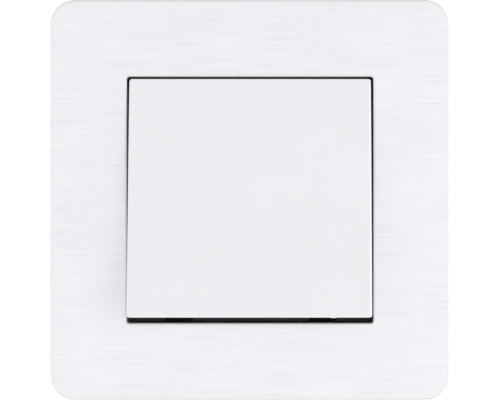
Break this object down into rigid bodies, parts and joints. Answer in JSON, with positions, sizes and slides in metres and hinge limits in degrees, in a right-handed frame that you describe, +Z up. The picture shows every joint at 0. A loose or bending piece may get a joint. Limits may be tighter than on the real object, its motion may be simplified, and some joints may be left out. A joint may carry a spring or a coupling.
{
  "type": "rocker wall switch",
  "caption": "Flush-mounted rocker wall switch: square brushed aluminium cover frame, large white rocker key, steel mounting yoke and push-in switching insert behind.",
  "frame": {"origin": "centre of the switch on the wall plane, midway between the box screws, where the yoke's back face lies on the wall", "axes": "+X right and +Z up as seen from the room, the room is at -Y and the wall box at +Y; stored with the key's top pressed in, as in the picture"},
  "size_m": [0.085, 0.0381, 0.085],
  "materials": {
    "brushed_aluminium": "fine horizontal brushing, satin",
    "white_plastic": "moulded, satin",
    "white_key_plastic": "moulded, satin gloss",
    "black_plastic": "moulded, matt",
    "dark_grey_plastic": "moulded, matt",
    "light_grey_plastic": "moulded, matt",
    "ivory_plastic": "moulded, satin",
    "orange_plastic": "moulded, satin",
    "zinc_steel": "zinc plated sheet",
    "spring_steel": "drawn, bright",
    "brass": "stamped strip",
    "contact_silver": "silver contact, satin"
  },
  "bodies": {
    "switch_body": {"front_plate": "brushed_aluminium", "frame_carrier": "white_plastic", "opening_liner": "black_plastic", "support_ring": "dark_grey_plastic", "mounting_yoke": "zinc_steel", "insert_cover": "light_grey_plastic", "insert_base": "light_grey_plastic", "cover_screws": "zinc_steel", "fixed_contact_upper": "contact_silver", "fixed_contact_lower": "contact_silver", "common_terminal": "brass", "upper_terminal": "brass", "lower_terminal": "brass", "clamp_spring_upper_left": "spring_steel", "clamp_spring_upper_right": "spring_steel", "clamp_spring_lower_left": "spring_steel", "clamp_spring_lower_right": "spring_steel"},
    "rocker": {"rocker_key": "white_key_plastic", "rocker_actuator": "ivory_plastic", "plunger_spring": "spring_steel"},
    "plunger_body": {"plunger": "black_plastic"},
    "contact_bridge": {"contact_seesaw": "brass", "moving_contact_upper": "contact_silver", "moving_contact_lower": "contact_silver"},
    "upper_release": {"release_lever_upper": "orange_plastic"},
    "lower_release": {"release_lever_lower": "orange_plastic"}
  },
  "joints": [
    {"name": "rocker_tilt", "type": "hinge", "parent": "switch_body", "child": "rocker", "pos_m": [0, -0.00475, 0], "axis": [1, 0, 0], "range_deg": [0, 10]},
    {"name": "bridge_rock", "type": "hinge", "parent": "switch_body", "child": "contact_bridge", "pos_m": [0, 0.0146, 0], "axis": [1, 0, 0], "range_deg": [-12, 0]},
    {"name": "plunger_press", "type": "slide", "parent": "rocker", "child": "plunger_body", "axis": [0, -0.9962, 0.0872], "range_m": [0, 0.0006], "stiffness_N_per_m": 400, "springref_m": -0.004, "deforming": ["plunger_spring"]},
    {"name": "upper_lever_press", "type": "slide", "parent": "switch_body", "child": "upper_release", "axis": [0, -1, 0], "range_m": [0, 0.0015], "stiffness_N_per_m": 1000, "springref_m": -0.001},
    {"name": "lower_lever_press", "type": "slide", "parent": "switch_body", "child": "lower_release", "axis": [0, -1, 0], "range_m": [0, 0.0015], "stiffness_N_per_m": 1000, "springref_m": -0.001}
  ],
  "couplings": [
    {"joint": "bridge_rock", "follows": "rocker_tilt", "ratio": -1.2}
  ]
}
